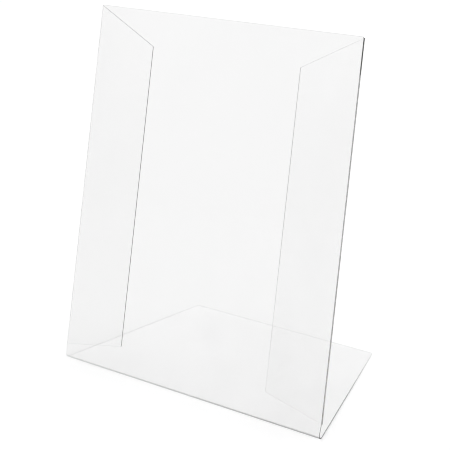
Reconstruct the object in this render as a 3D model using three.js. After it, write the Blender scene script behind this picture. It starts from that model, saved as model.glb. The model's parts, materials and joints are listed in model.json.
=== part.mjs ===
// Free-standing counter sneeze guard, folded from clear plastic sheet.
//
// Millimetres, +Z up. The guard stands on the XY plane. +X is to the right of a
// customer who looks at the guard, and +Y points away from the customer, towards the
// food. The origin is on the counter, at the middle of the guard's width and depth.
// The pieces are drawn from the sharp corner, which is the line where the front face of
// the panel and the underside of the base would meet if there were no bend between them.

import * as THREE from "three";

// Sheet
const SHEET = 2; // thickness

// Front panel, measured up its own slope from the sharp corner
const PANEL_WIDTH = 600; // across the two creases
const PANEL_LENGTH = 720;
const LEAN = THREE.MathUtils.degToRad(12); // back from upright, over the base
const CORNER_RADIUS = 3; // every free corner of the cut outline

// Base flange, a trapezium lying on the counter
const BASE_DEPTH = 348; // from the sharp corner to the rear edge
const BASE_REAR_WIDTH = 438;
const BASE_CORNER_RADIUS = 6;

// Heat-formed bend between the panel and the base
const BEND_RADIUS = 8; // outer radius, on the side of the customer
const BEND_STEPS = 24;
const FORMED_WIDTH = 594; // width of the bend, between the relief cuts
const SEAM = 0.3; // gap that keeps the three lengths of the formed sheet apart

// Side wings, mitred flaps that fold about the creases
const WING_WIDTH = 130; // from the crease to the free edge
const WING_FOOT = 29; // lower end of the crease
const WING_HEAD = 718; // upper end of the crease
const WING_FOOT_RISE = 23; // the mitre lifts the lower edge this much at the free edge
const WING_HEAD_DROP = 68; // the mitre lowers the upper edge this much at the free edge
const WING_REST_ANGLE = THREE.MathUtils.degToRad(4); // spring-back from lying flat

// Creases, the thin webs left by scoring the sheet
const WEB_RADIUS = 0.5;
const WEB_STEPS = 20;
const CREASE_CLEARANCE = 0.3; // from the web to the sheet on either side
const FOLD_GAP = 0.6; // between panel and wing when the wing lies flat

// The two creases sit just inside the panel's width, behind its rear face.
const CREASE_X = PANEL_WIDTH / 2 - WEB_RADIUS;
const CREASE_Y = SHEET + FOLD_GAP / 2;
const HINGE_SETBACK = WEB_RADIUS + CREASE_CLEARANCE; // from the crease line to the sheet's edge

// The bend turns from the panel's slope down to the counter, through more than a right angle.
const BEND_TURN = Math.PI / 2 + LEAN;
const BEND_TANGENT = BEND_RADIUS * Math.tan(BEND_TURN / 2); // from the sharp corner to the bend's ends

// The guard reaches from the foremost line of the bend to the rear edge of the base.
const FOREMOST = BEND_TANGENT - BEND_RADIUS;
const MID_DEPTH = (FOREMOST + BASE_DEPTH) / 2;

const clearSheet = (name) =>
  new THREE.MeshStandardMaterial({
    name,
    color: 0xf2f5f6,
    roughness: 0.05,
    metalness: 0,
    transparent: true,
    opacity: 0.25,
  });

// A closed outline through the given corners, each {x, y, r}, with its corners rounded by r.
function roundedOutline(corners) {
  const shape = new THREE.Shape();
  const count = corners.length;
  corners.forEach((corner, i) => {
    const here = new THREE.Vector2(corner.x, corner.y);
    const previous = corners[(i + count - 1) % count];
    const next = corners[(i + 1) % count];
    const back = new THREE.Vector2(previous.x, previous.y).sub(here).normalize();
    const ahead = new THREE.Vector2(next.x, next.y).sub(here).normalize();
    const halfAngle = Math.acos(THREE.MathUtils.clamp(back.dot(ahead), -1, 1)) / 2;
    const reach = corner.r ? corner.r / Math.tan(halfAngle) : 0;
    const enter = here.clone().addScaledVector(back, reach);
    if (i === 0) shape.moveTo(enter.x, enter.y);
    else shape.lineTo(enter.x, enter.y);
    if (!corner.r) return;
    const leave = here.clone().addScaledVector(ahead, reach);
    shape.quadraticCurveTo(here.x, here.y, leave.x, leave.y);
  });
  shape.closePath();
  return shape;
}

// Extrudes an outline by one sheet thickness, from z = 0 upwards.
function sheetOf(outline) {
  const options = { depth: SHEET, bevelEnabled: false, curveSegments: 6 };
  return new THREE.ExtrudeGeometry(outline, options);
}

// A sheet drawn as (x, height) stands up in the XZ plane, its front face at y = 0.
function standing(geometry) {
  return geometry.rotateX(Math.PI / 2).translate(0, SHEET, 0);
}

// Front panel in its own frame: x across, z up the slope, front face at y = 0.
function frontPanel() {
  const halfTop = CREASE_X - HINGE_SETBACK;
  const halfFoot = FORMED_WIDTH / 2;
  const foot = BEND_TANGENT + SEAM;
  const outline = roundedOutline([
    { x: -halfFoot, y: foot },
    { x: halfFoot, y: foot },
    { x: halfTop, y: WING_FOOT },
    { x: halfTop, y: PANEL_LENGTH, r: CORNER_RADIUS },
    { x: -halfTop, y: PANEL_LENGTH, r: CORNER_RADIUS },
    { x: -halfTop, y: WING_FOOT },
  ]);
  return named("front_panel", standing(sheetOf(outline)));
}

// A wing in the frame of its crease: x runs away from the crease, z along it, and at angle 0
// the wing lies flat behind the panel. side is 1 for the left wing and -1 for the right wing.
function wing(name, side) {
  const outline = roundedOutline([
    { x: HINGE_SETBACK, y: WING_FOOT },
    { x: WING_WIDTH, y: WING_FOOT + WING_FOOT_RISE, r: CORNER_RADIUS },
    { x: WING_WIDTH, y: WING_HEAD - WING_HEAD_DROP, r: CORNER_RADIUS },
    { x: HINGE_SETBACK, y: WING_HEAD },
  ].map((corner) => ({ ...corner, x: side * corner.x })));
  const geometry = standing(sheetOf(outline)).translate(0, FOLD_GAP / 2, 0);
  return named(name, geometry);
}

// The web of a crease, a thin round bead about the crease line.
function creaseWeb(name) {
  const length = WING_HEAD - WING_FOOT;
  const bead = new THREE.CylinderGeometry(WEB_RADIUS, WEB_RADIUS, length, WEB_STEPS);
  bead.rotateX(Math.PI / 2).translate(0, 0, WING_FOOT + length / 2);
  return named(name, bead);
}

// Base flange on the counter: x across, y back from the sharp corner.
function baseFlange() {
  const halfRear = BASE_REAR_WIDTH / 2;
  const halfFront = FORMED_WIDTH / 2;
  const front = BEND_TANGENT + SEAM;
  const outline = roundedOutline([
    { x: -halfFront, y: front },
    { x: halfFront, y: front },
    { x: halfRear, y: BASE_DEPTH, r: BASE_CORNER_RADIUS },
    { x: -halfRear, y: BASE_DEPTH, r: BASE_CORNER_RADIUS },
  ]);
  return named("base_flange", sheetOf(outline));
}

// The heat-formed bend, drawn as its section (y, z) and extruded across the guard.
function baseBend() {
  const centreY = BEND_TANGENT;
  const centreZ = BEND_RADIUS;
  const onArc = (radius, turn) =>
    new THREE.Vector2(centreY - radius * Math.sin(turn), centreZ - radius * Math.cos(turn));
  const turns = Array.from({ length: BEND_STEPS + 1 }, (_, i) => (BEND_TURN * i) / BEND_STEPS);
  const outer = turns.map((turn) => onArc(BEND_RADIUS, turn));
  const inner = turns.map((turn) => onArc(BEND_RADIUS - SHEET, turn)).reverse();
  const options = { depth: FORMED_WIDTH, bevelEnabled: false };
  const geometry = new THREE.ExtrudeGeometry(new THREE.Shape([...outer, ...inner]), options);
  // The section's (y, z) become the guard's, and the extrusion runs along x.
  const axes = new THREE.Matrix4().makeBasis(
    new THREE.Vector3(0, 1, 0),
    new THREE.Vector3(0, 0, 1),
    new THREE.Vector3(1, 0, 0),
  );
  geometry.applyMatrix4(axes).translate(-FORMED_WIDTH / 2, 0, 0);
  return named("base_bend", geometry);
}

function named(name, geometry) {
  const mesh = new THREE.Mesh(geometry, clearSheet(name));
  mesh.name = name;
  return mesh;
}

// A crease line in the panel's frame, with the wing turned about it to its rest angle.
function creaseWithWing(label, side) {
  const crease = new THREE.Group();
  crease.position.set(-side * CREASE_X, CREASE_Y, 0);
  const leaf = new THREE.Group();
  leaf.rotation.z = side * WING_REST_ANGLE;
  leaf.add(wing(`${label}_wing`, side));
  crease.add(creaseWeb(`${label}_crease`), leaf);
  return crease;
}

// Everything above the bend shares the panel's lean.
function leaningPart() {
  const leaning = new THREE.Group();
  leaning.rotation.x = -LEAN;
  leaning.add(frontPanel(), creaseWithWing("left", 1), creaseWithWing("right", -1));
  return leaning;
}

const guard = new THREE.Group();
guard.add(leaningPart(), baseBend(), baseFlange());
for (const piece of guard.children) piece.position.y -= MID_DEPTH;

export default guard;
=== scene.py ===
import json
import math

import bpy
import numpy as np
from mathutils import Matrix, Vector


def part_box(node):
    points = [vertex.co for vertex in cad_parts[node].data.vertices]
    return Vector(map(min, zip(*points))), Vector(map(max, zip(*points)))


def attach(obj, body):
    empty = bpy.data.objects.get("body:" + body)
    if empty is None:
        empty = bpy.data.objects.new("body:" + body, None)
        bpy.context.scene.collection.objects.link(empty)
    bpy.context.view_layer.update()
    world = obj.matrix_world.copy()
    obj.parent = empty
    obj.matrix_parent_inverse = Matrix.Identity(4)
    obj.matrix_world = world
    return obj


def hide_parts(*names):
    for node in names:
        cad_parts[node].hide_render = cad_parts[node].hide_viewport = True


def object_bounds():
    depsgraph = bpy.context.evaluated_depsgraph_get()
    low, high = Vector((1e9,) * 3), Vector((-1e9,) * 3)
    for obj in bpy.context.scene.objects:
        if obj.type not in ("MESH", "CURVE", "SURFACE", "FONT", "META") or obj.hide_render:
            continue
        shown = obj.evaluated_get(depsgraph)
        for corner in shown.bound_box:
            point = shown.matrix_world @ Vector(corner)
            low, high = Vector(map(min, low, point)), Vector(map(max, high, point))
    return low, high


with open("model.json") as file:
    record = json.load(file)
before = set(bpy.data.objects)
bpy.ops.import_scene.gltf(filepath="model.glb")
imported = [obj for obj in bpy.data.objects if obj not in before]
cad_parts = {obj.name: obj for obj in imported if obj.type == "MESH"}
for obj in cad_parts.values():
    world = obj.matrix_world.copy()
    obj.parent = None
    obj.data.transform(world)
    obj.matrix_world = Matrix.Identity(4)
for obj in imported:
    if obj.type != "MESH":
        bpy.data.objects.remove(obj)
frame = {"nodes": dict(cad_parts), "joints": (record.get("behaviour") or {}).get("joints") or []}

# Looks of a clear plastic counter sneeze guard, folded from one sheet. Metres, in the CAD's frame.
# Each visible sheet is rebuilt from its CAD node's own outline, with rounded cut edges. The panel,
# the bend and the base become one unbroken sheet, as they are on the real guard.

CAD_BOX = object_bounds()
MM = 0.001

# ---------------------------------------------------------------- places, from the frame

JOINTS = {joint["name"]: joint for joint in frame["joints"]}
ACROSS = Vector((1, 0, 0))
UP_SLOPE = Vector(JOINTS["left_wing_fold"]["axis"]).normalized()
BEHIND = UP_SLOPE.cross(ACROSS)  # from the panel's front face to its rear face
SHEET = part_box("base_flange")[1].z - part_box("base_flange")[0].z
BEND_LOW, BEND_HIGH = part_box("base_bend")
BEND_RADIUS = BEND_HIGH.y - BEND_LOW.y
BEND_TURN = math.pi / 2 + math.atan2(UP_SLOPE.y, UP_SLOPE.z)
BEND_TANGENT = BEND_RADIUS * math.tan(BEND_TURN / 2)
SHARP_CORNER = Vector((0, BEND_HIGH.y - BEND_TANGENT, 0))
RIGHT, REAR, TOP = CAD_BOX[1]

# ---------------------------------------------------------------- visual detail

EDGE_ROUNDING = 0.15 * MM
EDGE_STEPS = 3  # facets in each rounded corner of a cut edge
COLUMNS = 48  # quads across a sheet
BEND_STEPS = 32
GRID_STEP = 15 * MM  # longest quad along a sheet
STATION_GAP = 2 * EDGE_ROUNDING  # shortest quad along a sheet, which keeps it clear of the rounding
SAME_STATION = 0.02 * MM  # outline points this close along a sheet share a station
STATION_DIGITS = 5  # decimals of a metre that tell one station from another
POINT_DIGITS = 6  # decimals of a metre that tell one point from another
SIDE_SHARE = 0.9  # rim points beyond this share of the half-width lie on a side
FLAT_FACES_LEAD = 100  # weighting that keeps thin edge facets from bending the faces' shading
RIPPLE = 0.35 * MM  # slow unevenness of the panel, which bends its reflections
RIPPLE_WAVES = ((1.0, 5.1, 2.3, 0.7), (0.6, -3.3, 7.9, 1.9))  # height, turn across, turn up, phase
TRAPPED_LIGHT = "trapped_light"  # mesh attribute: 1 where the bend traps light and looks dark
TRAPPED_CENTRE = math.radians(31)  # round the bend from the counter
TRAPPED_SPREAD = math.radians(36)
FACE, CUT, FOLDED = 0, 1, 2  # material slots of a sheet: its faces, cut edges and folded edges
WEB_THICKNESS = 0.4 * MM
WEB_CLEARANCE = 0.02 * MM
WEB_ARC_STEPS = 18
WEB_LENGTHS = 40
WEB_OVERLAP = 0.1 * MM  # how far a web reaches into the sheet's rounded edge


def local(node, origin, first, second):
    """A CAD node's vertices as (first, second) coordinates from an origin."""
    points = np.array([v.co for v in frame["nodes"][node].data.vertices]) - np.array(origin)
    return np.stack([points @ np.array(first), points @ np.array(second)], 1)


def merged(points, digits=POINT_DIGITS):
    """The different points among rows of coordinates, in order."""
    return np.unique(np.round(points, digits), axis=0)


def with_steps(stations, longest):
    """The same stations with more between them, no two further apart than longest."""
    filled = [stations[0]]
    for a, b in zip(stations[:-1], stations[1:]):
        count = max(1, math.ceil((b - a) / longest))
        filled += [a + (b - a) * i / count for i in range(1, count + 1)]
    return np.array(filled)


def spaced(stations, least):
    """The first and last stations, and those between that leave at least this distance on each side."""
    kept = [stations[-1]]
    for value in stations[-2:0:-1]:
        if kept[-1] - value >= least and value - stations[0] >= least:
            kept.append(value)
    return [stations[0]] + kept[::-1]


# ---------------------------------------------------------------- sheet meshes


def boundary(rows, columns):
    """Grid indices round the rim of a rows by columns grid, as one loop."""
    loop = [(0, k) for k in range(columns)]
    loop += [(i, columns) for i in range(rows)]
    loop += [(rows, k) for k in range(columns, 0, -1)]
    loop += [(i, 0) for i in range(rows, 0, -1)]
    return loop


def outward(rim):
    """Unit vectors that point out of a closed loop of 2-D points, one for each."""
    along = np.roll(rim, -1, 0) - np.roll(rim, 1, 0)
    normal = np.stack([along[:, 1], -along[:, 0]], 1)
    normal /= np.linalg.norm(normal, axis=1)[:, None]
    x, y = rim[:, 0], rim[:, 1]
    area = np.sum(x * np.roll(y, -1) - y * np.roll(x, -1))
    return normal * np.sign(area)


def edge_profile():
    """(inset, depth) of each ring down a cut edge, from one face of the sheet to the other."""
    turns = [math.pi / 2 * i / EDGE_STEPS for i in range(EDGE_STEPS + 1)]
    near = [(EDGE_ROUNDING * (1 - math.sin(a)), EDGE_ROUNDING * (1 - math.cos(a))) for a in turns]
    return near + [(inset, SHEET - depth) for inset, depth in reversed(near)]


def sheet_piece(name, stations, low, high, place, rim_slot):
    """A closed sheet. At each station p it spans q from low to high, and place(p, q, depth) puts it
    in space. rim_slot(p, q) is the material slot of the rim there."""
    rows, columns = len(stations) - 1, COLUMNS
    share = np.linspace(0, 1, columns + 1)
    p = np.repeat(np.array(stations)[:, None], columns + 1, 1)
    q = np.array(low)[:, None] * (1 - share) + np.array(high)[:, None] * share
    loop = boundary(rows, columns)
    rim = np.array([(p[i, k], q[i, k]) for i, k in loop])
    out = outward(rim)

    vertices, faces, slots = [], [], []
    rings = []
    profile = edge_profile()
    for inset, depth in profile:
        ring = rim - out * inset
        rings.append(range(len(vertices), len(vertices) + len(ring)))
        vertices += [place(a, b, depth) for a, b in ring]
    for first, second in zip(rings[:-1], rings[1:]):
        for j in range(len(loop)):
            after = (j + 1) % len(loop)
            faces.append((first[j], first[after], second[after], second[j]))
            slots.append(rim_slot(*(rim[j] + rim[after]) / 2))
    for ring, depth, flip in ((rings[0], 0.0, True), (rings[-1], SHEET, False)):
        index = {cell: ring[j] for j, cell in enumerate(loop)}
        for i in range(1, rows):
            for k in range(1, columns):
                index[i, k] = len(vertices)
                vertices.append(place(p[i, k], q[i, k], depth))
        for i in range(rows):
            for k in range(columns):
                quad = [index[i, k], index[i, k + 1], index[i + 1, k + 1], index[i + 1, k]]
                faces.append(tuple(reversed(quad)) if flip else tuple(quad))
                slots.append(FACE)
    return mesh_piece(name, vertices, faces, slots)


def mesh_piece(name, vertices, faces, slots):
    """A smooth-shaded object whose faces all point outward."""
    mesh = bpy.data.meshes.new(name)
    mesh.from_pydata([tuple(v) for v in vertices], [], faces)
    mesh.polygons.foreach_set("material_index", slots)
    mesh.polygons.foreach_set("use_smooth", [True] * len(faces))
    if signed_volume(mesh) < 0:
        mesh.flip_normals()
    piece = bpy.data.objects.new(name, mesh)
    bpy.context.scene.collection.objects.link(piece)
    weighted = piece.modifiers.new("face_normals", "WEIGHTED_NORMAL")
    weighted.weight = FLAT_FACES_LEAD
    return piece


def signed_volume(mesh):
    """Six times the enclosed volume, negative where the faces point inward."""
    mesh.calc_loop_triangles()
    corners = np.array([v.co for v in mesh.vertices])
    triangles = np.array([t.vertices for t in mesh.loop_triangles])
    a, b, c = (corners[triangles[:, i]] for i in range(3))
    return float(np.einsum("ij,ij->i", a, np.cross(b, c)).sum())


# ---------------------------------------------------------------- the formed sheet


def half_widths(node, along, offset, sign):
    """(path lengths, half-widths) of a CAD sheet, read from the right half of its outline."""
    points = local(node, SHARP_CORNER, along, ACROSS)
    points = merged(points[points[:, 1] > 0])
    path = offset + sign * (points[:, 0] - BEND_TANGENT)
    order = np.lexsort((points[:, 1], path))
    return path[order], points[order, 1]


def widest(path, width):
    """One half-width for each path length: the outermost point there."""
    keys = merged(path[:, None], STATION_DIGITS)[:, 0]
    return keys, np.array([width[np.abs(path - k) < SAME_STATION].max() for k in keys])


def ripple(x, slope):
    """Slow unevenness of the panel, zero at its creases, its top and its foot."""
    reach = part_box("front_panel")[1].x
    length = (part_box("front_panel")[1].z - SHARP_CORNER.z) / UP_SLOPE.z
    across, up = x / reach, slope / length
    fade = (1 - across * across) * math.sin(math.pi * min(max(up, 0), 1))
    wave = sum(height * math.sin(a * across + b * up + phase) for height, a, b, phase in RIPPLE_WAVES)
    return RIPPLE * fade * wave


def on_formed_sheet(path, x, depth):
    """A point of the formed sheet. path runs from the base's rear edge, over the bend, to the top."""
    arc = BEND_RADIUS * BEND_TURN
    if path <= 0:
        return Vector((x, BEND_HIGH.y - path, depth))
    if path < arc:
        turn = path / BEND_RADIUS
        radius = BEND_RADIUS - depth
        return Vector((x, BEND_HIGH.y - radius * math.sin(turn), BEND_RADIUS - radius * math.cos(turn)))
    slope = path - arc + BEND_TANGENT
    point = SHARP_CORNER + UP_SLOPE * slope + BEHIND * (depth + ripple(x, slope - BEND_TANGENT))
    return Vector((x, point.y, point.z))


def formed_sheet():
    """The base, the bend and the panel as one sheet."""
    arc = BEND_RADIUS * BEND_TURN
    base = widest(*half_widths("base_flange", Vector((0, 1, 0)), 0.0, -1))
    panel = widest(*half_widths("front_panel", UP_SLOPE, arc, 1))
    path = np.concatenate([base[0], panel[0]])
    width = np.concatenate([base[1], panel[1]])
    bend = np.linspace(0, arc, BEND_STEPS + 1)
    stations = np.concatenate([with_steps(spaced(path, STATION_GAP), GRID_STEP), bend])
    stations = merged(stations[:, None])[:, 0]
    half = np.interp(stations, path, width)
    foot, head = crease_span("left_crease", JOINTS["left_wing_fold"])  # the right crease matches it
    crease_start = arc - BEND_TANGENT + foot
    crease_end = arc - BEND_TANGENT + head
    side = SIDE_SHARE * half.min()

    def rim_slot(station, x):
        beside_crease = crease_start < station < crease_end and abs(x) > side
        return FOLDED if beside_crease else CUT

    piece = sheet_piece("formed_sheet", stations, -half, half, on_formed_sheet, rim_slot)
    mark_trapped_light(piece)
    return piece


def crease_span(node, joint):
    """(foot, head) of a CAD crease, up the slope from the sharp corner."""
    low, high, _radius = crease_reach(node, joint)
    middle = (Vector(joint["pos_m"]) - SHARP_CORNER).dot(UP_SLOPE)
    return middle + low, middle + high


def mark_trapped_light(piece):
    """Marks the outside of the bend near the counter, which acts as a lens and shows as a dark line."""
    points = np.array([v.co for v in piece.data.vertices])
    back, up = BEND_HIGH.y - points[:, 1], BEND_RADIUS - points[:, 2]
    amount = np.exp(-(((np.arctan2(back, up) - TRAPPED_CENTRE) / TRAPPED_SPREAD) ** 2))
    on_outside = (back >= 0) & (up >= 0) & (np.hypot(back, up) > BEND_RADIUS - SHEET / 2)
    amount[~on_outside] = 0
    attribute = piece.data.attributes.new(TRAPPED_LIGHT, "FLOAT", "POINT")
    attribute.data.foreach_set("value", amount.astype(np.float32))


# ---------------------------------------------------------------- wings and creases


def wing_axes(node, joint):
    """(away from the crease, through the sheet) for a wing, from the CAD sheet's own plane."""
    points = np.array([v.co for v in frame["nodes"][node].data.vertices])
    through = Vector(np.linalg.svd(points - points.mean(0))[2][-1])
    through *= math.copysign(1, through.dot(BEHIND))
    away = UP_SLOPE.cross(through).normalized()
    centre = Vector(points.mean(0)) - Vector(joint["pos_m"])
    return away * math.copysign(1, away.dot(centre)), through


def wing_sheet(name, node, joint):
    """A wing, from its CAD sheet's outline. Its stations run out from the crease."""
    crease = Vector(joint["pos_m"])
    away, through = wing_axes(node, joint)
    outline = merged(local(node, crease, away, UP_SLOPE))
    near = local(node, crease, through, UP_SLOPE)[:, 0].min()
    upper, lower = outline[outline[:, 1] > 0], outline[outline[:, 1] < 0]
    stations = with_steps(spaced(merged(outline[:, :1])[:, 0], STATION_GAP), GRID_STEP)
    high = np.interp(stations, *outer_chain(upper, max))
    low = np.interp(stations, *outer_chain(lower, min))

    def place(p, q, depth):
        return crease + away * p + UP_SLOPE * q + through * (near + depth)

    def rim_slot(p, _q):
        return FOLDED if p < stations[0] + EDGE_ROUNDING else CUT

    return sheet_piece(name, stations, low, high, place, rim_slot)


def outer_chain(points, outermost):
    """(stations, values) along one side of an outline."""
    keys = merged(points[:, :1], STATION_DIGITS)[:, 0]
    values = [outermost(points[np.abs(points[:, 0] - k) < SAME_STATION, 1]) for k in keys]
    return keys, np.array(values)


def crease_reach(node, joint):
    """(lower end, upper end, radius) of a CAD crease, measured from its joint."""
    crease = Vector(joint["pos_m"])
    ends = local(node, crease, UP_SLOPE, ACROSS)
    return ends[:, 0].min(), ends[:, 0].max(), ends[:, 1].max()


def setback(joint):
    """From the crease line to the edge of the panel beside it."""
    return abs(joint["pos_m"][0]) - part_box("front_panel")[1].x


def swept(name, section, joint, inward, through, ends):
    """A closed strip: a section of (inward, through) points carried along a crease."""
    crease = Vector(joint["pos_m"])
    low, high = ends
    count = len(section)
    vertices, faces = [], []
    for i in range(WEB_LENGTHS + 1):
        height = low + (high - low) * i / WEB_LENGTHS
        vertices += [crease + UP_SLOPE * height + inward * a + through * b for a, b in section]
    for i in range(WEB_LENGTHS):
        for j in range(count):
            after = (j + 1) % count
            faces.append((i * count + j, i * count + after, (i + 1) * count + after, (i + 1) * count + j))
    faces.append(tuple(reversed(range(count))))
    faces.append(tuple(range(WEB_LENGTHS * count, (WEB_LENGTHS + 1) * count)))
    return mesh_piece(name, vertices, faces, [0] * len(faces))


def arc_points(radius, start, end):
    """Points along a round arc about the crease line, as (inward, through) pairs."""
    turns = np.linspace(start, end, WEB_ARC_STEPS + 1)
    return [(radius * math.cos(t), radius * math.sin(t)) for t in turns]


def crease_web(name, node, joint, inward):
    """The round line of the crease with the thin web that joins it to the panel's rear face."""
    low, high, radius = crease_reach(node, joint)
    reach = setback(joint) + WEB_OVERLAP
    inner = WEB_THICKNESS - radius
    meet = math.asin(inner / radius)
    round_part = arc_points(radius, meet, 1.5 * math.pi)
    section = round_part + [(reach, -radius), (reach, inner)]
    return swept(name, section, joint, inward, BEHIND, (low, high))


def wing_web(name, node, wing_node, joint):
    """The thin web on the wing's side, which turns about the crease with the wing."""
    low, high, radius = crease_reach(node, joint)
    away, through = wing_axes(wing_node, joint)
    outer = radius + WEB_CLEARANCE
    inner = outer - WEB_THICKNESS
    reach = setback(joint) + WEB_OVERLAP
    section = arc_points(outer, math.pi / 2, math.asin(inner / outer)) + [(reach, inner), (reach, outer)]
    return swept(name, section, joint, away, through, (low, high))


# ---------------------------------------------------------------- materials

PLASTIC_IOR = 1.57
FACE_TINT = (0.999, 0.999, 0.999, 1)
GRAZING_TINT = (0.55, 0.55, 0.55, 1)  # a long path through the sheet
BEND_TINT = (0.12, 0.12, 0.12, 1)  # light trapped in the bend
HAZE_COLOUR = (0.5, 0.5, 0.5, 1)
CUT_COLOUR = (0.03, 0.03, 0.03, 1)
WEB_COLOUR = (0.82, 0.82, 0.82, 1)
MOST_NOISE = (0.3, 0.7)  # most of a noise's values lie between these
EVEN_BLEND = 0.5  # layer weight that falls evenly from face-on to edge-on


class Graph:
    """The node tree of a material or a world, with one call for each node and its links."""

    def __init__(self, owner, coordinates="Object"):
        owner.use_nodes = True
        self.owner, self.tree = owner, owner.node_tree
        self.tree.nodes.clear()
        self.place = self.add("ShaderNodeTexCoord").outputs[coordinates]

    def add(self, kind, inputs=None, **settings):
        """A node with its settings. Each input is linked to a socket or given a value."""
        node = self.tree.nodes.new(kind)
        for key, value in settings.items():
            setattr(node, key, value)
        for key, value in (inputs or {}).items():
            if isinstance(value, bpy.types.NodeSocket):
                self.tree.links.new(value, node.inputs[key])
            else:
                node.inputs[key].default_value = value
        return node

    def noise(self, scale, detail=3.0, squeeze=(1, 1, 1), turn=(0, 0, 0)):
        """Smooth noise. squeeze makes it that many times finer along each axis."""
        mapping = self.add("ShaderNodeMapping", {"Vector": self.place, "Scale": squeeze, "Rotation": turn})
        inputs = {"Vector": mapping.outputs[0], "Scale": scale, "Detail": detail}
        return self.add("ShaderNodeTexNoise", inputs).outputs["Fac"]

    def between(self, value, low, high, to_low=0.0, to_high=1.0):
        """value mapped from low..high to to_low..to_high, and held inside that."""
        inputs = {"Value": value, "From Min": low, "From Max": high, "To Min": to_low, "To Max": to_high}
        return self.add("ShaderNodeMapRange", inputs, clamp=True).outputs[0]

    def axis(self, letter):
        return self.add("ShaderNodeSeparateXYZ", {0: self.place}).outputs[letter]

    def math(self, operation, first, second):
        return self.add("ShaderNodeMath", {0: first, 1: second}, operation=operation).outputs[0]

    def times(self, first, *others):
        """The product of two or more values."""
        product = first
        for value in others:
            product = self.math("MULTIPLY", product, value)
        return product

    def mix_value(self, share, first, second):
        return self.add("ShaderNodeMix", {0: share, 2: first, 3: second}).outputs[0]

    def mix_colour(self, share, first, second):
        return self.add("ShaderNodeMix", {0: share, 6: first, 7: second}, data_type="RGBA").outputs[2]

    def mix_shader(self, share, first, second):
        return self.add("ShaderNodeMixShader", {0: share, 1: first, 2: second}).outputs[0]

    def clear(self, tint):
        return self.add("ShaderNodeBsdfTransparent", {"Color": tint}).outputs[0]

    def plastic(self, colour, **inputs):
        """A solid plastic surface. Its other inputs are named as in the Principled shader."""
        return self.add("ShaderNodeBsdfPrincipled", {"Base Color": colour, **inputs}).outputs[0]

    def inside(self):
        """1 on a surface seen from inside its sheet, and 0 from outside."""
        return self.add("ShaderNodeNewGeometry").outputs["Backfacing"]

    def slant(self):
        """0 on a surface seen face-on, to 1 edge-on."""
        return self.add("ShaderNodeLayerWeight", {"Blend": EVEN_BLEND}).outputs["Facing"]

    def fresnel(self, normal):
        """The mirrored share, the same from both sides of a surface that doesn't bend light."""
        ior = self.between(self.inside(), 0.0, 1.0, PLASTIC_IOR, 1 / PLASTIC_IOR)
        return self.add("ShaderNodeFresnel", {"IOR": ior, "Normal": normal}).outputs[0]

    def mirrored(self):
        """1 for what the eye sees mirrored in a sheet, and 0 for all else."""
        ray = self.add("ShaderNodeLightPath").outputs
        direct = self.math("LESS_THAN", ray["Diffuse Depth"], 0.5)  # before any diffuse bounce
        return self.times(ray["Is Glossy Ray"], direct)

    def behind_sheet(self):
        """1 for what the eye sees through a sheet, and 0 for all else."""
        ray = self.add("ShaderNodeLightPath").outputs
        return self.times(ray["Is Camera Ray"], self.math("MINIMUM", ray["Transparent Depth"], 1.0))

    def bump(self, height, strength, distance):
        inputs = {"Height": height, "Strength": strength, "Distance": distance}
        return self.add("ShaderNodeBump", inputs).outputs[0]

    def finish(self, shader):
        """Links the shader to the output and gives the finished material or world."""
        kind = "World" if isinstance(self.owner, bpy.types.World) else "Material"
        self.add(f"ShaderNodeOutput{kind}", {"Surface": shader})
        return self.owner


def material_graph(name):
    return Graph(bpy.data.materials.new(name))


# Faint marks on the polished faces. A pair gives the noise values where a mark starts and is full.
SMEARS = {"scale": 7, "detail": 4.0, "squeeze": (1, 1, 0.5)}
SMEAR_SHOWS = (0.52, 0.74)
HAIRLINES = (
    {"scale": 60, "detail": 1.0, "squeeze": (9, 9, 0.25), "turn": (0.2, 0.15, 0)},
    {"scale": 45, "detail": 1.0, "squeeze": (0.3, 8, 8), "turn": (0, 0.6, 0.1)},
)
HAIRLINE_SHOWS = (0.73, 0.78)
HAIRLINE_RELIEF = 0.1  # height of a hairline, where a die line is 1
DUST_CELLS = 55.0  # cells a metre
DUST_RADIUS = (0.012, 0.028)  # of a speck's full middle and of its soft rim, in cells
DUST_PATCHES = {"scale": 23, "detail": 0.0}
DUST_SHOWS = (0.56, 0.58)
DIE_LINES = {"scale": 5, "detail": 2.0, "squeeze": (14, 14, 0.6)}  # left by the extruder
FACE_BUMP = {"strength": 0.05, "distance": 0.4 * MM}
FACE_ROUGHNESS = (0.02, 0.16)  # of clean and of marked plastic
HAZE_ROUGHNESS = 0.7
HAZE_CLEAN, HAZE_SMEAR, HAZE_LINE, HAZE_DUST = 0.002, 0.010, 0.01, 0.25  # shares of haze
GRAZING_POWER = 9.0
BEND_STREAKS = {"scale": 12, "detail": 2.0, "squeeze": (1, 0, 0)}
BEND_STREAK_DEPTH = (0.8, 1.0)
BEND_FADE = (0.25, 1.0)  # how dark the bend is at its left and its right end


def hairlines(graph):
    """Sparse hairline scratches in two directions, 0 to 1."""
    lines = [graph.between(graph.noise(**noise), *HAIRLINE_SHOWS) for noise in HAIRLINES]
    return graph.math("MAXIMUM", *lines)


def dust(graph):
    """Specks of dust about half a millimetre wide, on a few cells of a scatter."""
    cells = graph.add("ShaderNodeTexVoronoi", {"Vector": graph.place, "Scale": DUST_CELLS, "Randomness": 1.0})
    speck = graph.between(cells.outputs["Distance"], *DUST_RADIUS, 1.0, 0.0)
    chosen = graph.between(graph.noise(**DUST_PATCHES), *DUST_SHOWS)
    return graph.times(speck, chosen)


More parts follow.
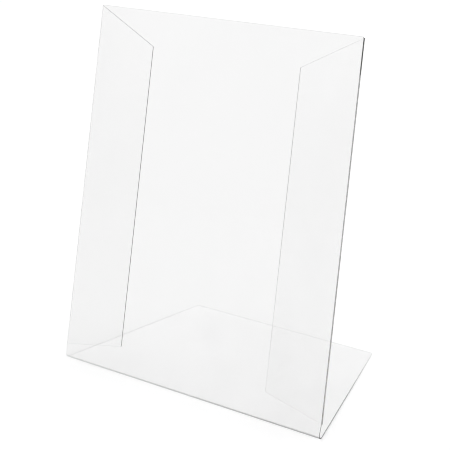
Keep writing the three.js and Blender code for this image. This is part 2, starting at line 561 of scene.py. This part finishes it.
def bend_darkness(graph):
    """How much light the bend traps, for the eye only, so that it casts no dark shadow."""
    trapped = graph.add("ShaderNodeAttribute", attribute_name=TRAPPED_LIGHT).outputs["Fac"]
    streaks = graph.between(graph.noise(**BEND_STREAKS), *MOST_NOISE, *BEND_STREAK_DEPTH)
    uneven = graph.times(streaks, graph.between(graph.axis("X"), -RIGHT, RIGHT, *BEND_FADE))
    eye = graph.add("ShaderNodeLightPath").outputs["Is Camera Ray"]
    return graph.times(trapped, uneven, eye)


def clear_face():
    """The sheet's polished faces: clear, with faint smears, hairlines and dust."""
    graph = material_graph("clear_sheet_face")
    smear = graph.between(graph.noise(**SMEARS), *SMEAR_SHOWS)
    lines, specks = hairlines(graph), dust(graph)
    relief = graph.math("ADD", graph.noise(**DIE_LINES), graph.times(lines, HAIRLINE_RELIEF))
    normal = graph.bump(relief, **FACE_BUMP)
    roughness = graph.between(graph.math("ADD", smear, lines), 0.0, 1.0, *FACE_ROUGHNESS)

    grazing = graph.math("POWER", graph.slant(), GRAZING_POWER)
    tint = graph.mix_colour(grazing, FACE_TINT, GRAZING_TINT)
    tint = graph.mix_colour(bend_darkness(graph), tint, BEND_TINT)
    shine = graph.add("ShaderNodeBsdfGlossy", {"Roughness": roughness, "Normal": normal}).outputs[0]
    sheet = graph.mix_shader(graph.fresnel(normal), graph.clear(tint), shine)

    amount = HAZE_CLEAN
    for mark, share in ((smear, HAZE_SMEAR), (lines, HAZE_LINE), (specks, HAZE_DUST)):
        amount = graph.math("ADD", amount, graph.times(mark, share))
    return graph.finish(graph.mix_shader(amount, sheet, graph.plastic(HAZE_COLOUR, Roughness=HAZE_ROUGHNESS)))


# Darkness of the edges. 0 is clear and 1 is black.
STRIAE = {"scale": 900, "detail": 2.0}  # fine lines across a cut edge
STRIAE_BUMP = {"strength": 0.35, "distance": 0.1 * MM}
EDGE_ROUGHNESS = (0.25, 0.5)
EDGE_SHADES = {"scale": 4, "detail": 2.0}
EDGE_SHADE_DEPTH = (0.9, 1.0)
CUT_OUTSIDE = (0.97, 0.2)  # from the middle of the depth to the rear
CUT_WITHIN = (0.11, 0.5)  # from the lower to the upper of these heights
CUT_WITHIN_HEIGHTS = (0.15 * TOP, 0.55 * TOP)
CUT_SLANT = (0.55, 0.80)  # over this range of slant an edge seen from within fades,
CUT_SLANT_SHARE = (1.0, 0.1)  # from all of its darkness to this share of it
FRONT_FOLD, REAR_FOLD = 0.8, 1.0  # the panel's side of a crease, and the wing's
FOLD_WITHIN = 0.01
TIGHT_FOLD_FROM = TOP - 65 * MM  # the right crease is pressed tight above this, and painted shade darkens it there
TIGHT_FOLD = (TIGHT_FOLD_FROM - 5 * MM, TIGHT_FOLD_FROM)  # heights where that painted shade starts and is full
# painted shade: how dark a folded edge is drawn above those heights
PRESSED_FOLD_SHADE = 1.0


def trapping_edge(graph, outside, within):
    """An edge that traps light: dark by the share outside, or by the share within from inside the sheet."""
    striae = graph.noise(**STRIAE)
    shades = graph.between(graph.noise(**EDGE_SHADES), *MOST_NOISE, *EDGE_SHADE_DEPTH)
    strength = graph.times(graph.mix_value(graph.inside(), outside, within), shades)
    dark = graph.plastic(
        CUT_COLOUR,
        Roughness=graph.between(striae, *MOST_NOISE, *EDGE_ROUGHNESS),
        IOR=PLASTIC_IOR,
        Normal=graph.bump(striae, **STRIAE_BUMP),
    )
    return graph.finish(graph.mix_shader(strength, graph.clear(FACE_TINT), dark))


def cut_edge():
    """Cut edges, which fade toward the rear of the base. Those seen from within also fade toward the
    counter, and where they are seen at a slant."""
    graph = material_graph("clear_cut_edge")
    outside = graph.between(graph.axis("Y"), 0.0, REAR, *CUT_OUTSIDE)
    within = graph.between(graph.axis("Z"), *CUT_WITHIN_HEIGHTS, *CUT_WITHIN)
    squarely = graph.between(graph.slant(), *CUT_SLANT, *CUT_SLANT_SHARE)
    return trapping_edge(graph, outside, graph.times(within, squarely))


def folded_edge(name, darkness):
    """A sheet's side along a crease: dark from outside, and nearly clear from within."""
    graph = material_graph(name)
    # painted shade: the folded edge is drawn darker from the given heights up
    outside = graph.between(graph.axis("Z"), *TIGHT_FOLD, darkness, PRESSED_FOLD_SHADE)
    return trapping_edge(graph, outside, FOLD_WITHIN)


WEB_PATCHES = {"scale": 30, "detail": 4.0, "squeeze": (1, 1, 0.4)}
WEB_PATCH_SHOWS = (0.35, 0.7)
WEB_MILKINESS = (0.04, 0.20)
WEB_FIBRES = {"scale": 500, "detail": 3.0, "squeeze": (1, 1, 0.15)}
WEB_FIBRE_BUMP = {"strength": 0.4, "distance": 0.1 * MM}
WEB_ROUGHNESS = (0.2, 0.5)
# painted shade on the web, high on the right crease where it is pressed tight
PRESSED_WEB_SHADE = 0.35
RIGHT_HALF = (0.0, 5 * MM)  # X from where the right half starts to where it's full


def whitened_web():
    """Crease webs: plastic stretched by folding and milky in patches. High on the right crease, where it is
    pressed tight, painted shade makes them dark.
    """
    graph = material_graph("crease_web_plastic")
    patches = graph.between(graph.noise(**WEB_PATCHES), *WEB_PATCH_SHOWS, *WEB_MILKINESS)
    high = graph.between(graph.axis("Z"), *TIGHT_FOLD)
    # painted shade: the web is drawn dark high on its right half
    pressed_shade = graph.times(high, graph.between(graph.axis("X"), *RIGHT_HALF))
    strength = graph.math("MAXIMUM", patches, graph.times(pressed_shade, PRESSED_WEB_SHADE))
    fibres = graph.noise(**WEB_FIBRES)
    milky = graph.plastic(
        graph.mix_colour(pressed_shade, WEB_COLOUR, CUT_COLOUR),
        Roughness=graph.between(fibres, *MOST_NOISE, *WEB_ROUGHNESS),
        IOR=PLASTIC_IOR,
        Normal=graph.bump(fibres, **WEB_FIBRE_BUMP),
    )
    return graph.finish(graph.mix_shader(strength, graph.clear(FACE_TINT), milky))


# ---------------------------------------------------------------- assembly


def dress(piece, body, materials, nodes=()):
    """Gives a piece its materials and its body, and hides the CAD nodes it stands for."""
    for material in materials:
        piece.data.materials.append(material)
    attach(piece, body)
    if nodes:
        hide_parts(*nodes)


def build_guard():
    """Makes every visible piece and puts it on its body."""
    face, edge, web = clear_face(), cut_edge(), [whitened_web()]
    panel_finish = [face, edge, folded_edge("clear_fold_front", FRONT_FOLD)]
    wing_finish = [face, edge, folded_edge("clear_fold_rear", REAR_FOLD)]
    dress(formed_sheet(), "stand", panel_finish, ("front_panel", "base_bend", "base_flange"))
    for side, inward in (("left", ACROSS), ("right", -ACROSS)):
        joint = JOINTS[f"{side}_wing_fold"]
        body, wing, crease = joint["child"], f"{side}_wing", f"{side}_crease"
        dress(wing_sheet(f"{side}_wing_sheet", wing, joint), body, wing_finish, (wing,))
        dress(crease_web(f"{side}_crease_web", crease, joint, inward), "stand", web, (crease,))
        dress(wing_web(f"{side}_wing_web", crease, wing, joint), body, web)


# ---------------------------------------------------------------- stage, light and camera

FLOOR_SIZE = 200.0
FLOOR_COLOUR = (0.97, 0.97, 0.97, 1)
FLOOR_BEHIND_SHEET = (0.865, 0.865, 0.865, 1)  # painted shade where the floor is seen through a sheet: lower, as the bare floor is just over white
FLOOR_IN_REFLECTIONS = (0.90, 0.90, 0.90, 1)
FLOOR_DROP = 0.2 * MM  # keeps the floor off the underside of the base
WHITE = (1, 1, 1, 1)
WORLD_STRENGTH = 1.07
# painted shade: the backdrop seen through a sheet is drawn dimmer
WORLD_BEHIND_SHEET = 0.96
ROOM_STRENGTH = (0.92, 1.7)  # of the mirrored room, at the horizon and overhead
ROOM_OVERHEAD = 0.42  # the room is at its brightest above this height, where 1 is straight up
CLOUDS = {"scale": 4.0, "detail": 1.0}  # unevenness of the room
CLOUD_SHOWS = (0.35, 0.65)
CLOUD_STRENGTH = (-0.15, 0.15)
CLOUD_BASE = 0.15  # clouds fade out from this height down to the horizon
SOFTBOX_SIZE = 1.8
SOFTBOXES = {"key_softbox": ((-1.4, -1.2, 2.6), 3), "fill_softbox": ((1.8, 0.9, 2.2), 2)}  # place, watts
CAMERA_AZIMUTH = math.radians(32.96)
CAMERA_ELEVATION = math.radians(11.04)
CAMERA_ROLL = math.radians(-0.30)
CAMERA_POSITION = Vector((1.3087, -1.8961, 1.1540))
LENS = 98.5
LENS_SHIFT = {"shift_x": -0.093, "shift_y": -0.462}
HOME_RADIUS = 0.02  # Blender merges keys closer than 0.01
LINE_SHARPNESS = 1.1  # pixel filter width, which keeps thin edges crisp
CLEAR_LAYERS = 64  # ample: a ray crosses six faces to reach the floor and six more to a light


def floor():
    """A wide pale floor, with painted shade where it is seen through a sheet and a painted reflection tone
    where it is seen mirrored in one.
    """
    mesh = bpy.data.meshes.new("studio_floor")
    half = FLOOR_SIZE / 2
    corners = [(-half, -half), (half, -half), (half, half), (-half, half)]
    mesh.from_pydata([(x, y, -FLOOR_DROP) for x, y in corners], [], [(0, 1, 2, 3)])
    plane = bpy.data.objects.new("studio_floor", mesh)
    bpy.context.scene.collection.objects.link(plane)
    graph = material_graph("studio_floor")
    # painted shade: the floor seen through a sheet is drawn darker
    colour = graph.mix_colour(graph.behind_sheet(), FLOOR_COLOUR, FLOOR_BEHIND_SHEET)
    colour = graph.mix_colour(graph.mirrored(), colour, FLOOR_IN_REFLECTIONS)
    mesh.materials.append(graph.finish(graph.add("ShaderNodeBsdfDiffuse", {"Color": colour}).outputs[0]))


def studio_world():
    """White for the eye and for diffuse light. Reflections see a room that brightens overhead."""
    world = bpy.data.worlds.new("studio")
    bpy.context.scene.world = world
    graph = Graph(world, "Generated")
    height = graph.axis("Z")
    clouds = graph.between(graph.noise(**CLOUDS), *CLOUD_SHOWS, *CLOUD_STRENGTH)
    clouds = graph.times(clouds, graph.between(height, 0.0, CLOUD_BASE))
    room = graph.math("ADD", graph.between(height, 0.0, ROOM_OVERHEAD, *ROOM_STRENGTH), clouds)
    # painted shade: dimmer where the eye sees the backdrop through a sheet
    white = graph.mix_value(graph.behind_sheet(), WORLD_STRENGTH, WORLD_BEHIND_SHEET)
    strength = graph.mix_value(graph.mirrored(), white, room)
    graph.finish(graph.add("ShaderNodeBackground", {"Color": WHITE, "Strength": strength}).outputs[0])


def softbox(name, position, power):
    """A square area light aimed at the middle of the guard."""
    light = bpy.data.lights.new(name, "AREA")
    light.shape, light.size, light.energy = "SQUARE", SOFTBOX_SIZE, power
    lamp = bpy.data.objects.new(name, light)
    lamp.location = position
    aim = (CAD_BOX[0] + CAD_BOX[1]) / 2 - Vector(position)
    lamp.rotation_euler = aim.to_track_quat("-Z", "Y").to_euler()
    bpy.context.scene.collection.objects.link(lamp)


def camera():
    """The view from the customer's right. Its lens is shifted, and only while it stands here."""
    lens = bpy.data.cameras.new("view")
    lens.lens = LENS
    eye = bpy.data.objects.new("view", lens)
    bpy.context.scene.collection.objects.link(eye)
    back = Vector((math.sin(CAMERA_AZIMUTH) * math.cos(CAMERA_ELEVATION),
                   -math.cos(CAMERA_AZIMUTH) * math.cos(CAMERA_ELEVATION),
                   math.sin(CAMERA_ELEVATION)))
    level = (-back).to_track_quat("-Z", "Y").to_matrix().to_4x4()
    eye.matrix_world = Matrix.Translation(CAMERA_POSITION) @ level @ Matrix.Rotation(CAMERA_ROLL, 4, "Z")
    home = bpy.data.objects.new("view_home", None)
    home.location = CAMERA_POSITION
    bpy.context.scene.collection.objects.link(home)
    for channel, amount in LENS_SHIFT.items():
        shift_only_at_home(lens, channel, amount, eye, home)
    bpy.context.scene.camera = eye


def shift_only_at_home(lens, channel, amount, eye, home):
    """Drives one lens shift: amount while eye stands at home, and none once it has moved away."""
    curve = lens.driver_add(channel)
    curve.driver.type = "AVERAGE"
    distance = curve.driver.variables.new()
    distance.type = "LOC_DIFF"
    distance.targets[0].id, distance.targets[1].id = eye, home
    for modifier in list(curve.modifiers):
        curve.modifiers.remove(modifier)
    for away, value in ((0.0, amount), (HOME_RADIUS, 0.0)):
        curve.keyframe_points.insert(away, value).interpolation = "LINEAR"
    curve.extrapolation = "CONSTANT"


build_guard()
floor()
studio_world()
for softbox_name, (softbox_place, watts) in SOFTBOXES.items():
    softbox(softbox_name, softbox_place, watts)
camera()
bpy.context.scene.view_settings.view_transform = "Standard"
bpy.context.scene.cycles.transparent_max_bounces = CLEAR_LAYERS
bpy.context.scene.cycles.filter_width = LINE_SHARPNESS
